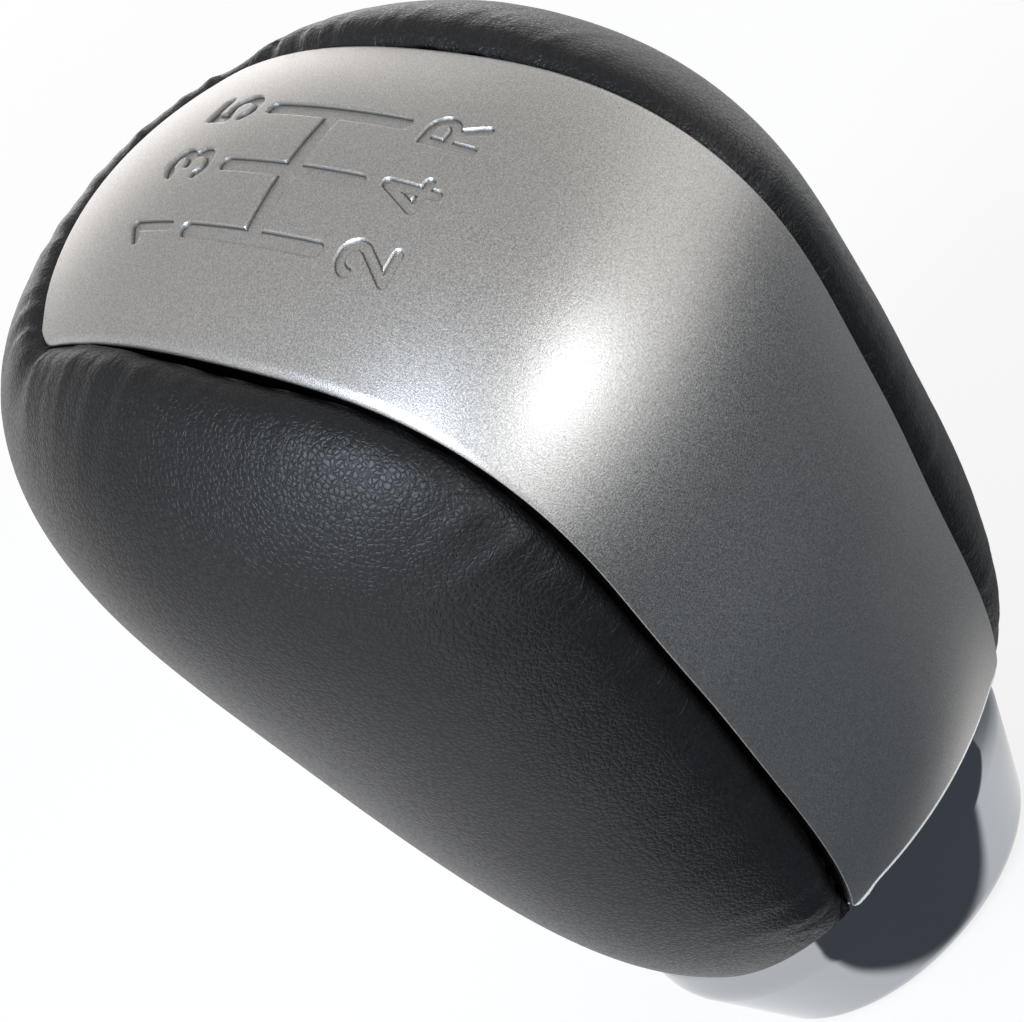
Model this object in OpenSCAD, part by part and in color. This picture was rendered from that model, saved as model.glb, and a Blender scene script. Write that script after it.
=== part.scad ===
// Gear lever knob: a leather covered grip with a moulded core in two halves,
// a satin centre plate over the crown and a bright collar at the foot.
// Origin: centre of the collar's lower edge. +Z runs up the lever's axis,
// +Y points to the front of the car and +X to the driver's right.

/* [Body] */
// Width across the two leather pads
body_w = 50; // [44:0.5:60]
// Height of the crown above the collar's lower edge
body_h = 80.3; // [70:0.1:97]
// Reach of the side outline at 0, 30, 60 and 90 degrees, from the front to the crown
reach_front = [43.5, 42.7, 38.2, 33.5]; // [32:0.1:45]
// Reach of the side outline at 120, 150, 180 and 210 degrees, from the crown down the back
reach_back = [32.2, 32.0, 26.2, 24.8]; // [24:0.1:34]
// Reach of the side outline at 240, 270, 300 and 330 degrees, from the back round the foot
reach_foot = [30.0, 40.4, 43.1, 45.9]; // [29:0.1:47]
// How far the outline's centre lies behind the lever's axis
centre_back = 8.7; // [7:0.1:10]
// Gain in half width at the crown against the middle
pad_spread = 3.3; // [0:0.1:4]
// Fullness of the pads toward the crown and the foot
pad_full = 1.8; // [0:0.1:3]
// Loss of half width toward the front
pad_front_in = 2.0; // [0:0.1:3]
// Loss of half width toward the front and back ends
pad_end_in = 10.8; // [6:0.1:12]
// Squareness of the body seen from the side, 2 is an ellipse
square_side = 3.35; // [2.6:0.01:4]
// Squareness of the body seen from the front, 2 is an ellipse
square_front = 2.23; // [2:0.01:2.6]

/* [Leather and padding] */
// Thickness of the leather cover
leather_t = 1.2; // [0.8:0.1:1.6]
// Thickness of the foam under the leather
foam_t = 2.7; // [1.5:0.1:3.5]
// How deep the leather's edge is tucked in beside the plate
tuck = 3.4; // [2:0.1:4]

/* [Centre plate] */
// Full width of the plate at its front corners, crown, back and foot corners
strap_w = [25.5, 27.0, 25.6, 21.5]; // [18:0.1:30]
// Fall of the plate's long edges below its centre line
strap_sag = 3.0; // [1:0.1:4]
// Angle of the plate's front corners
strap_front = 72.0; // [64:0.1:80]
// How far the middle of the front edge runs on past the corners, in degrees
strap_bow = 4; // [0:0.1:6]
// How far the foot corners run on past the middle of the lower edge, in degrees
foot_drop = 2.5; // [0:0.1:3]
// Radius of the plate's front corners
strap_corner = 2.2; // [1:0.1:4]
// Radius of the plate's foot corners
foot_corner = 0.9; // [0.5:0.1:2]
// Thickness of the plate
plate_t = 2.0; // [1.2:0.1:3]
// Gap between the plate's edge and the leather
strap_gap = 0.6; // [0.3:0.1:1.2]
// Diameter of the plate's studs
stud_d = 3.0; // [2:0.1:4]

/* [Core] */
// Wall of the moulded halves
wall = 2.4; // [1.6:0.1:3]
// Wall of the tower round the insert
tower_wall = 2.3; // [1.6:0.1:3]
// Thickness of the stiffening ribs
rib_t = 1.6; // [1:0.1:2.4]
// Diameter of the shell screws' thread
screw_d = 2.9; // [2.4:0.1:3.4]
// Length of the shell screws under the head
screw_len = 12; // [8:0.5:16]

/* [Insert] */
// Diameter of the hole before it is threaded M12 x 1.25
thread_hole_d = 10.75; // [8.8:0.05:10.9]
// Outer diameter of the steel insert
insert_d = 16; // [14:0.2:19.2]
// Length of the steel insert
insert_len = 32; // [24:0.5:36]
// Depth of the threaded hole
thread_len = 27; // [18:0.5:30]

/* [Collar] */
// Height of the collar
collar_h = 11.5; // [11:0.1:14]
// Diameter of the collar's rim
rim_d = 32.8; // [31:0.1:34]
// Height of the straight band under the collar's rim
collar_band = 3.0; // [1.5:0.1:3.5]
// How much the radius narrows from the straight band to the lower edge
collar_taper = 4.1; // [3:0.05:5]
// Rounding of the collar's lower edge
collar_round = 2.4; // [1:0.1:4]
// Wall of the collar
collar_wall = 1.6; // [1.2:0.1:2]
// Diameter of the socket for the gaiter's ring
socket_d = 18; // [15:0.2:19]
// Depth of the socket for the gaiter's ring
socket_h = 4.2; // [3:0.1:4.6]

/* [Fits] */
// Clearance between hard pieces
fit = 0.15; // [0.1:0.01:0.25]
// Clearance between layers of leather, foam and core
lay = 0.2; // [0.15:0.01:0.3]

/* [Hidden] */
$fn = 64;

// Side outline: twelve reaches at every 30 degrees about the outline's centre
REACH = concat(reach_front, reach_back, reach_foot);
// At scale 1 the crown stands 68.8 above the collar, and the centre 34.5
k_side = (body_h - collar_h) / 68.8;
mid_y = -centre_back * k_side;
mid_z = collar_h + 34.5 * k_side;
half_h = 40 * k_side;
half_d = 30 * k_side;
crown_k = strap_sag / pow(strap_w[1] / 2, 2);

// Angles at which the plate's width is given
STRAP_AT = [strap_front, 120, 180, 254];
// Depths below the leather's face
foam_d = leather_t + lay;
core_d = foam_d + foam_t + 2 * lay;
bed_d = plate_t + 2 * fit;
bed_in = 1.0;
tuck_d = min(tuck, core_d - 2 * lay);
floor_z = collar_h - 0.5;

// Where the side outline comes down to the collar, in front and behind
phi_front = meet(collar_h + lay, 272, 350);
phi_foot = meet(collar_h + 2 * fit, 200, 268);

// Collar outline
rim_r = rim_d / 2;
band_z = collar_h - collar_band;
cone = atan(collar_taper / band_z);
wall_h = collar_wall / cos(cone);
neck_z = socket_h + fit;
ring_z = neck_z + 2.5;
ring_h = 1.0;
ring_top = ring_z + ring_h + 2 * fit;
// Roundings of the collar's shoulder and rim
band_round = 4;
rim_round = 0.6;

// Grid of the body's surfaces: rows round the side outline, closer at the plate's front edge and at the foot
n_open = 26;
n_front = 14;
n_pad = 7;
crowd = 0.6;
function spread(t) = (1 - crowd) * t + crowd * (1 - cos(180 * t)) / 2;
row_lo = strap_front - 0.8;
row_hi = 360 + strap_front - strap_bow - 0.8;
ROWS = concat([for (i = [0:n_open - 1]) row_lo + spread(i / n_open) * (phi_front - row_lo)],
              [for (i = [0:n_front]) phi_front + spread(i / n_front) * (row_hi - phi_front)]);

// Shell screws: angle about the outline's centre, and the share of the reach there
SCREW_AT = [[35, 0.62], [150, 0.62], [330, 0.60], [246, 0.70]];
// Plate studs: angle, and the side of the centre line
STUD_AT = [[95, -5], [95, 5], [214, -5], [214, 5]];
boss_d = 8;
clip_d = 8;
clip_t = 0.5;
stud_boss = 8.4;
head_d = 5.4;
head_t = 2.0;
seat_x = 3;

// Smoothest closed wave through twelve even stations
function wave(x) = abs(sin(x / 2)) < 1e-6 ? 1 : sin(6 * x) / (12 * tan(x / 2));
function side_r(phi) = k_side * (REACH * [for (i = [0:11]) wave(phi - 30 * i)]);
function side_z(phi) = mid_z + side_r(phi) * sin(phi);

// Angle between lo and hi at which the side outline is at height z
function meet(z, lo, hi, n = 24) =
    let (m = (lo + hi) / 2)
    n == 0 ? m : (side_z(m) > z) == (side_z(lo) > z) ? meet(z, m, hi, n - 1) : meet(z, lo, m, n - 1);

// Point of the left pad, d under the leather's face: a is 0 at the pad's middle and 90 on the centre line
function skin(phi, a, d) =
    let (r = (side_r(phi) - d) * pow(sin(a), 2 / square_side),
         y = r * cos(phi), z = r * sin(phi), q = z / half_h, p = y / half_d,
         full = body_w / 2 - d + pad_spread * q + pad_full * q * q - pad_front_in * p - pad_end_in * p * p / (1 + p * p),
         x = full * pow(cos(a), 2 / square_front))
    [a == 90 ? 0 : -x, mid_y + y, mid_z + z];

// Angle a at which the left pad's surface is x from the centre line
function edge_a(phi, d, x, lo = 0, hi = 90, n = 22) =
    let (m = (lo + hi) / 2)
    n == 0 ? m : -skin(phi, m, d).x > x ? edge_a(phi, d, x, m, hi, n - 1) : edge_a(phi, d, x, lo, m, n - 1);

// Angle a at which the left pad comes down to height z
function rim_a(phi, z) =
    let (s = sin(phi) < 0 ? (mid_z - z) / (-side_r(phi) * sin(phi)) : 1)
    s >= 1 ? 90 : asin(pow(s, square_side / 2));

// Half width of the plate at an angle: the cubic through its four given widths
function strap_hw(phi) =
    let (f = max(strap_front, min(254, phi)), s = STRAP_AT)
    (strap_w[0] * (f - s[1]) * (f - s[2]) * (f - s[3]) / ((s[0] - s[1]) * (s[0] - s[2]) * (s[0] - s[3]))
    + strap_w[1] * (f - s[0]) * (f - s[2]) * (f - s[3]) / ((s[1] - s[0]) * (s[1] - s[2]) * (s[1] - s[3]))
    + strap_w[2] * (f - s[0]) * (f - s[1]) * (f - s[3]) / ((s[2] - s[0]) * (s[2] - s[1]) * (s[2] - s[3]))
    + strap_w[3] * (f - s[0]) * (f - s[1]) * (f - s[2]) / ((s[3] - s[0]) * (s[3] - s[1]) * (s[3] - s[2]))) / 2;

// Point d under the plate's outer face, x from the centre line
function strap_pt(phi, x, d) =
    let (r = side_r(phi) - crown_k * x * x - d)
    [x, mid_y + r * cos(phi), mid_z + r * sin(phi)];

function flip(p) = [p.x == 0 ? 0 : -p.x, p.y, p.z];
function flip_rows(g) = [for (row = g) [for (p = row) flip(p)]];
function lift(p, z) = [p.x, p.y, max(p.z, z)];
function sink(p, phi, t) = [p.x, p.y - t * cos(phi), p.z - t * sin(phi)];

// Closed skin between an outer and an inner grid that both fan out from a pole.
// Rows run round, columns run out from the pole, and a wall closes the last column where asked.
function grid_pts(g) = [for (row = g) for (p = row) p];
function fan(n, c, base, pole, turn) =
    [for (i = [0:n - 1]) let (k = (i + 1) % n)
        turn ? [pole, base + k * c, base + i * c] : [pole, base + i * c, base + k * c]];
function web(n, c, base, turn) =
    [for (i = [0:n - 1], j = [0:c - 2]) let (k = (i + 1) % n,
         p = base + i * c + j, q = base + k * c + j)
        each turn ? [[p, q, q + 1], [p, q + 1, p + 1]] : [[p, q + 1, q], [p, p + 1, q + 1]]];
function rim(n, c, base, inner, turn, last) =
    [for (i = [0:last - 1]) let (k = (i + 1) % n,
         p = base + i * c + c - 1, q = base + k * c + c - 1,
         u = inner + i * c + c - 1, v = inner + k * c + c - 1)
        each turn ? [[p, q, v], [p, v, u]] : [[p, v, q], [p, u, v]]];

module bowl(outer, inner, pole_out, pole_in) {
    n = len(outer);
    c = len(outer[0]);
    m = n * c;
    polyhedron(
        points = concat(grid_pts(outer), grid_pts(inner), [pole_out, pole_in]),
        faces = concat(fan(n, c, 0, 2 * m, false), web(n, c, 0, false),
                       fan(n, c, m, 2 * m + 1, true), web(n, c, m, true),
                       rim(n, c, 0, m, false, n)));
}

// Angles a of the pad's rings on row i at depth d, the last where the pad ends beside the plate
function pad_end(i, d, x) = i < n_open ? min(edge_a(ROWS[i], d, x), rim_a(ROWS[i], collar_h + lay)) : 90;
function ring_a(i, e, j) = (TUCKED[i] ? 1 : n_pad / (n_pad + 1)) * e * pow(j / n_pad, 1.3);

// Rows on which the leather turns in beside the plate, clear of the collar
TUCKED = [for (i = [0:n_open + n_front]) let (f = ROWS[i])
    i < n_open && skin(f, pad_end(i, 0, strap_hw(f) + strap_gap), 0).z > collar_h + 3 * tuck];

// Moulded half: the pad's seat, the raised bed under the plate, and the floor over the neck
bed_lo = strap_front + 2;
bed_hi = phi_foot - 3;
function shell_row(i, t) =
    let (f = ROWS[i], d = core_d + t, hw = strap_hw(f), x = hw - bed_in - t,
         e = pad_end(i, d, hw + strap_gap + leather_t + lay), m = ring_a(i, e, n_pad),
         bed = f > bed_lo && f < bed_hi)
    concat([for (j = [1:n_pad]) lift(skin(f, ring_a(i, e, j), d), floor_z + t)],
           bed ? [skin(f, edge_a(f, d, x), d), strap_pt(f, -x, bed_d + t), strap_pt(f, -x / 2, bed_d + t),
                  strap_pt(f, 0, bed_d + t)]
               : [for (j = [1:4]) lift(skin(f, m, d) * (1 - j / 4) + skin(f, 90, d) * j / 4, floor_z + t)]);

module half_core() {
    n = n_open + n_front;
    bowl([for (i = [0:n]) shell_row(i, 0)], [for (i = [0:n]) shell_row(i, wall)],
         skin(0, 0, core_d), skin(0, 0, core_d + wall));
}

// Depth of the shell's inner face beside the centre line at a point of the side view
function inside_x(y, z) =
    let (phi = atan2(z - mid_z, y - mid_y), d = core_d + wall,
         s = norm([y - mid_y, z - mid_z]) / (side_r(phi < 0 ? phi + 360 : phi) - d),
         a = asin(pow(min(s, 0.98), square_side / 2)))
    -skin(phi, a, d).x;

// Length of a boss whose whole end lies in the middle of the wall
function boss_len(y, z) =
    min([for (t = [0:45:315]) inside_x(y + boss_d / 2 * cos(t), z + boss_d / 2 * sin(t))]) + wall * 0.4;

function screw_y(i) = mid_y + SCREW_AT[i][1] * side_r(SCREW_AT[i][0]) * cos(SCREW_AT[i][0]);
function screw_z(i) = mid_z + SCREW_AT[i][1] * side_r(SCREW_AT[i][0]) * sin(SCREW_AT[i][0]);

// Local frame of a stud: +Z points out through the plate
module at_stud(i) {
    f = STUD_AT[i][0];
    translate(strap_pt(f, STUD_AT[i][1], 0)) rotate([f - 90, 0, 0]) children();
}

function collar_in(z) = rim_r - wall_h - max(0, band_z - z) * tan(cone);

// Neck of the core, a full turn: it sits inside the collar
module neck() {
    rotate_extrude()
        polygon([[0, neck_z], [collar_in(neck_z) - fit, neck_z],
                 [collar_in(ring_z) - fit, ring_z], [collar_in(ring_z) - fit - ring_h, ring_z],
                 [collar_in(ring_z) - fit - ring_h, ring_top],
                 [collar_in(ring_top) - fit, ring_top], [rim_r - wall_h - fit, max(band_z, ring_top) + 0.01],
                 [rim_r - wall_h - fit, collar_h], [0, collar_h]]);
}

module insert_body(grow) {
    top = neck_z + insert_len;
    flange = 2;
    difference() {
        union() {
            translate([0, 0, neck_z - grow]) cylinder(d = insert_d + 3.4 + 2 * grow, h = flange + 2 * grow);
            intersection() {
                translate([0, 0, neck_z]) cylinder(d = insert_d + 2 * grow, h = insert_len + grow);
                translate([-insert_d / 2 + 1 - grow, -insert_d, neck_z - 1])
                    cube([insert_d - 2 + 2 * grow, 2 * insert_d, insert_len + 3]);
            }
        }
        for (z = [top - 8, top - 16])
            translate([0, 0, z + grow]) difference() {
                cylinder(d = insert_d + 6, h = 2.4 - 2 * grow);
                translate([0, 0, -1]) cylinder(d = insert_d - 2.4 + 2 * grow, h = 5);
            }
    }
}

// Rib in a plane across the side view, from one point of it to another
module rib(y1, z1, y2, z2, depth) {
    translate([-depth, y1, z1]) rotate([atan2(z2 - z1, y2 - y1), 0, 0])
        translate([0, 0, -rib_t / 2]) cube([depth, norm([y2 - y1, z2 - z1]), rib_t]);
}

module half_shell(right) {
    side = right ? 1 : -1;
    difference() {
        union() {
            mirror([right ? 1 : 0, 0, 0]) {
                half_core();
                intersection() {
                    union() {
                        neck();
                        cylinder(d = insert_d + 2 * tower_wall, h = neck_z + insert_len + wall);
                    }
                    translate([-50, -50, neck_z]) cube([50, 100, 100]);
                }
                for (i = [0:3])
                    translate([0, screw_y(i), screw_z(i)]) rotate([0, -90, 0])
                        cylinder(d = boss_d, h = boss_len(screw_y(i), screw_z(i)));
                rib(0, neck_z + insert_len, screw_y(0), screw_z(0), 9);
                rib(0, neck_z + insert_len, screw_y(1), screw_z(1), 9);
                rib(screw_y(2), screw_z(2), 0, screw_z(2), 12);
                rib(screw_y(3), screw_z(3), 0, screw_z(3), 10);
            }
            for (i = [0:3])
                if (sign(STUD_AT[i][1]) == side)
                    at_stud(i) translate([0, 0, -stud_boss]) cylinder(d = clip_d + 0.4, h = stud_boss - bed_d - 1.2);
        }
        insert_body(fit / 3);
        translate([0, 0, neck_z - 1]) cylinder(d = thread_hole_d + 2, h = insert_len);
        for (i = [0:3])
            translate([0, screw_y(i), screw_z(i)]) rotate([0, 90 * side, 0])
                if (right) {
                    cylinder(d = screw_d + 0.4, h = 60);
                    translate([0, 0, seat_x]) cylinder(d = head_d + 0.6, h = 60);
                } else {
                    translate([0, 0, -1]) cylinder(d = screw_d + 0.1, h = screw_len - seat_x + 2);
                }
        for (i = [0:3])
            if (sign(STUD_AT[i][1]) == side)
                at_stud(i) translate([0, 0, -stud_boss - 2]) cylinder(d = stud_d + 0.4, h = stud_boss + 4);
    }
}

module left_shell() {
    color("#1d1d1f") half_shell(false);
}

module right_shell() {
    color("#232326") half_shell(true);
}

// Steel insert, clamped between the halves: two flats, two grooves and a flange keep it in
module threaded_insert() {
    color("#b9b4a4") difference() {
        insert_body(0);
        translate([0, 0, neck_z - 1]) cylinder(d = thread_hole_d, h = thread_len + 1);
        translate([0, 0, neck_z - 0.01]) cylinder(d1 = thread_hole_d + 1.6, d2 = thread_hole_d, h = 0.8);
    }
}

// Self-tapping screw: driven from the right, its head at the bottom of the boss
module shell_screw(i) {
    color("#8d8f93") translate([seat_x + 0.05, screw_y(i), screw_z(i)]) rotate([0, 90, 0]) difference() {
        union() {
            cylinder(d = head_d, h = head_t);
            translate([0, 0, -screw_len + 1.5]) cylinder(d = screw_d, h = screw_len);
            translate([0, 0, -screw_len]) cylinder(d1 = 0.8, d2 = screw_d, h = 1.5);
        }
        for (t = [0, 90])
            rotate([0, 0, t]) translate([-1.5, -0.35, head_t - 1.1]) cube([3, 0.7, 2]);
    }
}

// Foam pad between core and leather, from beside the plate round to the front centre line.
// Its back is skived toward the edges that nothing holds.
function foam_row(i, d, turn) =
    let (last = i == n_open + n_front, f = ROWS[i] - (last ? 4 : 0),
         q = last && turn > 0 ? d + 2 * fit : (last || i == 0) && turn < 0 ? d - 2 * lay : d,
         x = strap_hw(f) + strap_gap + leather_t + lay, e = i < n_open ? pad_end(i, d, x) : edge_a(f, q, lay))
    concat([for (j = [1:n_pad]) skin(f, ring_a(i, e, j), q)],
           [sink(skin(f, e, q), f, TUCKED[i] ? turn : min(0, turn))]);

module foam_pad() {
    n = n_open + n_front;
    bowl([for (i = [0:n]) foam_row(i, foam_d, foam_t * 0.4)], [for (i = [0:n]) foam_row(i, foam_d + foam_t, -foam_t * 0.4)],
         skin(0, 0, foam_d), skin(0, 0, foam_d + foam_t));
}

module left_foam() {
    color("#6e6a60") foam_pad();
}

module right_foam() {
    color("#77736a") mirror([1, 0, 0]) foam_pad();
}

// One piece of leather: both pads and the band round the front, tucked in beside the plate
function leather_row(i, d) =
    let (f = ROWS[i], e = pad_end(i, d, strap_hw(f) + strap_gap + d))
    concat([for (j = [1:n_pad]) skin(f, ring_a(i, e, j), d)],
           [sink(skin(f, e, d), f, TUCKED[i] ? tuck_d - d : 0)]);

module leather_cover() {
    n = n_open + n_front + 1;
    c = n_pad + 1;
    m = n * c;
    outer = [for (i = [0:n - 1]) leather_row(i, 0)];
    inner = [for (i = [0:n - 1]) leather_row(i, leather_t)];
    color("#2b2b2e") polyhedron(
        points = concat(grid_pts(outer), grid_pts(inner), grid_pts(flip_rows(outer)), grid_pts(flip_rows(inner)),
                        [skin(0, 0, 0), skin(0, 0, leather_t), flip(skin(0, 0, 0)), flip(skin(0, 0, leather_t))]),
        faces = concat(fan(n, c, 0, 4 * m, false), web(n, c, 0, false),
                       fan(n, c, m, 4 * m + 1, true), web(n, c, m, true),
                       fan(n, c, 2 * m, 4 * m + 2, true), web(n, c, 2 * m, true),
                       fan(n, c, 3 * m, 4 * m + 3, false), web(n, c, 3 * m, false),
                       rim(n, c, 0, m, false, n_open), rim(n, c, 2 * m, 3 * m, true, n_open),
                       leather_end(n, c, m)));
}

// The cover's edge between its last row and its first, along the plate's front edge
function leather_end(n, c, m) =
    let (p = (n - 1) * c + c - 1, q = c - 1)
    [[p, m + q, q], [p, m + p, m + q],
     [2 * m + p, 2 * m + q, 3 * m + q], [2 * m + p, 3 * m + q, 3 * m + p]];

// Centre plate: a grid along the strap and across it, with four studs behind
n_long = 30;
n_wide = 8;
function ease(i) = (1 - cos(180 * i / n_long)) / 2;
function strap_grid_pt(i, j, d) =
    let (t = 2 * j / n_wide - 1, lo = strap_front - strap_bow * (1 - t * t),
         hi = phi_foot + foot_drop * t * t, f = lo + (hi - lo) * ease(i),
         s = min(ease(i), 1 - ease(i)) * (phi_foot - strap_front) * 3.14159 / 180 * side_r(f),
         r = ease(i) < 0.5 ? strap_corner : foot_corner,
         u = max(0, 1 - s / r), cut = r * (1 - sqrt(1 - u * u)))
    strap_pt(f, t * (strap_hw(f) - cut), d);

module strap_body() {
    c = n_wide + 1;
    m = (n_long + 1) * c;
    face = [for (i = [0:n_long - 1], j = [0:n_wide - 1]) let (p = i * c + j)
        each [[p, p + 1, p + c + 1], [p, p + c + 1, p + c]]];
    back = [for (f = face) [f[0] + m, f[2] + m, f[1] + m]];
    sides = [for (i = [0:n_long - 1]) let (p = i * c, q = p + n_wide)
        each [[p, p + c, p + c + m], [p, p + c + m, p + m], [q, q + m, q + c + m], [q, q + c + m, q + c]]];
    ends = [for (j = [0:n_wide - 1]) let (p = j, q = n_long * c + j)
        each [[p, p + m, p + 1 + m], [p, p + 1 + m, p + 1], [q, q + 1, q + 1 + m], [q, q + 1 + m, q + m]]];
    polyhedron(
        points = concat([for (i = [0:n_long], j = [0:n_wide]) strap_grid_pt(i, j, 0)],
                        [for (i = [0:n_long], j = [0:n_wide]) strap_grid_pt(i, j, plate_t)]),
        faces = concat(face, back, sides, ends));
}

module trim_plate() {
    color("#b4b1ae") union() {
        strap_body();
        for (i = [0:3])
            at_stud(i) translate([0, 0, -stud_boss - 3]) cylinder(d = stud_d, h = stud_boss + 3 - plate_t / 2);
    }
}

// Dished spring washer, pushed on to a stud behind the bed
module plate_clip(i) {
    color("#9aa0a6") at_stud(i) translate([0, 0, -stud_boss - 0.1]) rotate_extrude()
        polygon([[stud_d / 2 + 0.05, -1.1], [stud_d / 2 + 0.05, -1.1 - clip_t], [stud_d / 2 + 0.5, -1.1 - clip_t],
                 [clip_d / 2 - 0.9, -clip_t], [clip_d / 2, -clip_t], [clip_d / 2, 0], [clip_d / 2 - 1.1, 0]]);
}

// Bright collar: a straight band over a short cone, a socket below and a groove inside
module collar() {
    round_r = rim_r - collar_taper + collar_round * tan(cone) - collar_round / cos(cone);
    color("#c9ccd0") rotate_extrude($fn = 128)
        polygon(concat(
            [[socket_d / 2, 0]],
            [for (a = [-90:(90 - cone) / 8:-cone + 0.01])
                [round_r + collar_round * cos(a), collar_round + collar_round * sin(a)]],
            [for (a = [-cone:cone / 3:0.01])
                [rim_r - band_round + band_round * cos(a), band_z + band_round * (tan(cone / 2) + sin(a))]],
            [for (a = [0:22.5:90]) [rim_r + rim_round * (cos(a) - 1), collar_h + rim_round * (sin(a) - 1)]],
            [[rim_r - wall_h, collar_h], [rim_r - wall_h, max(band_z, ring_top) + 0.01],
             [collar_in(ring_top), ring_top],
             [collar_in(ring_z) + 0.6, ring_top],
             [collar_in(ring_z) + 0.6, ring_z], [collar_in(ring_z), ring_z],
             [collar_in(socket_h), socket_h], [socket_d / 2, socket_h]]));
}

// Split spring ring: half in the neck's groove, half in the collar's
module snap_ring() {
    color("#7f858c") translate([0, 0, ring_z + fit]) rotate([0, 0, 105]) rotate_extrude(angle = 330)
        translate([collar_in(ring_z) - fit - ring_h + 0.1, 0]) square([ring_h + 0.55, ring_h]);
}

left_shell();
right_shell();
threaded_insert();
shell_screw(0);  // shell_screw_1
shell_screw(1);  // shell_screw_2
shell_screw(2);  // shell_screw_3
shell_screw(3);  // shell_screw_4
left_foam();
right_foam();
leather_cover();
trim_plate();
plate_clip(0);  // plate_clip_1
plate_clip(1);  // plate_clip_2
plate_clip(2);  // plate_clip_3
plate_clip(3);  // plate_clip_4
collar();
snap_ring();
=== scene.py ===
# Gear lever knob: leather grip, satin centre plate with a shift pattern, bright collar
import math

import bmesh
import bpy
import numpy as np
from mathutils import Matrix, Vector


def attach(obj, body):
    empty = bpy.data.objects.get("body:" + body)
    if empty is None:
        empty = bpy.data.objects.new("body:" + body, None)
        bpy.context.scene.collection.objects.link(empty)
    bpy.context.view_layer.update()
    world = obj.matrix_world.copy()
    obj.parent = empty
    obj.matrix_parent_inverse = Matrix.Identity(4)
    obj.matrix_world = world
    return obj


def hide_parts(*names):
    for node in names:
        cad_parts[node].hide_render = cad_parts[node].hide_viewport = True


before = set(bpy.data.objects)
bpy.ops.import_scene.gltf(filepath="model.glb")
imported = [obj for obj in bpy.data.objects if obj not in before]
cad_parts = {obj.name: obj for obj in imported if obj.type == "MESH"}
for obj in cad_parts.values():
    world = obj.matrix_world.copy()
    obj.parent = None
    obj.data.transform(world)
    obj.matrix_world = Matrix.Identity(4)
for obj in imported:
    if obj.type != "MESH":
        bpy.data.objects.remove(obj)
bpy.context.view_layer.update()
mm = 0.001


# Helpers for meshes and nodes

def srgb(hexText):
    # sRGB hex to linear colour
    parts = [int(hexText[i:i + 2], 16) / 255 for i in (1, 3, 5)]
    lin = [p / 12.92 if p <= 0.04045 else ((p + 0.055) / 1.055) ** 2.4 for p in parts]
    return (*lin, 1.0)


def makeMesh(name, points, faces, smooth=True):
    # points in millimetres, faces as rows of corner numbers
    mesh = bpy.data.meshes.new(name)
    mesh.from_pydata((points * mm).tolist(), [], faces.tolist() if hasattr(faces, "tolist") else faces)
    mesh.validate()
    mesh.polygons.foreach_set("use_smooth", np.full(len(mesh.polygons), smooth))
    mesh.update()
    obj = bpy.data.objects.new(name, mesh)
    bpy.context.scene.collection.objects.link(obj)
    return obj


def gridFaces(rows, cols, closedRows=False, closedCols=False, base=0):
    # quads of a grid whose points run row by row
    i = np.arange(rows if closedRows else rows - 1)
    j = np.arange(cols if closedCols else cols - 1)
    i, j = np.meshgrid(i, j, indexing="ij")
    k, l = (i + 1) % rows, (j + 1) % cols
    return base + np.stack([i * cols + j, k * cols + j, k * cols + l, i * cols + l], -1).reshape(-1, 4)


def gridRim(rows, cols):
    # numbers of a grid's outer points, once round
    return np.concatenate([np.arange(cols), np.arange(1, rows) * cols + cols - 1,
                           (rows - 1) * cols + np.arange(cols - 2, -1, -1),
                           np.arange(rows - 2, 0, -1) * cols])


def unit(v):
    # vectors brought to length 1
    return v / np.maximum(np.linalg.norm(v, axis=-1, keepdims=True), 1e-12)


def smoothStep(x, lo, hi):
    # eases from 0 at lo to 1 at hi, as 3 t squared less 2 t cubed
    t = np.clip((x - lo) / (hi - lo), 0, 1)
    return t * t * (3 - 2 * t)


def ripple(x, seed, waves=7, spread=0.45):
    # sum of sines round wavelength 1, each with its own length and phase, between about -1 and 1
    rng = np.random.default_rng(seed)
    length = 1 + spread * rng.uniform(-1, 1, waves)
    phase = rng.uniform(0, 2 * np.pi, waves)
    return np.sin(2 * np.pi * x[..., None] / length + phase).sum(-1) / math.sqrt(waves)


def mergeDoubles(obj, distance=1e-6):
    # joins points closer than distance metres, drops slivers and turns every face outwards
    bm = bmesh.new()
    bm.from_mesh(obj.data)
    bmesh.ops.remove_doubles(bm, verts=bm.verts, dist=distance)
    bmesh.ops.dissolve_degenerate(bm, edges=bm.edges, dist=1e-8)
    bmesh.ops.recalc_face_normals(bm, faces=bm.faces)
    bm.to_mesh(obj.data)
    bm.free()
    obj.data.polygons.foreach_set("use_smooth", np.ones(len(obj.data.polygons), bool))
    obj.data.update()


def addAttribute(obj, name, values):
    # one number for each point, for the materials to read
    layer = obj.data.attributes.new(name, "FLOAT", "POINT")
    layer.data.foreach_set("value", np.asarray(values, np.float32))


def newMaterial(name):
    # a material with a principled shader on its surface
    mat = bpy.data.materials.new(name)
    mat.use_nodes = True
    tree = mat.node_tree
    tree.nodes.clear()
    out = tree.nodes.new("ShaderNodeOutputMaterial")
    shader = tree.nodes.new("ShaderNodeBsdfPrincipled")
    tree.links.new(shader.outputs[0], out.inputs["Surface"])
    return mat, tree, shader


def addNode(tree, kind, settings=None, inputs=None):
    # adds a node, sets its properties, and fills or links its inputs
    node = tree.nodes.new("ShaderNode" + kind)
    for key, value in (settings or {}).items():
        setattr(node, key, value)
    for key, value in (inputs or {}).items():
        if isinstance(value, bpy.types.NodeSocket):
            tree.links.new(value, node.inputs[key])
        else:
            node.inputs[key].default_value = value
    return node


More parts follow.
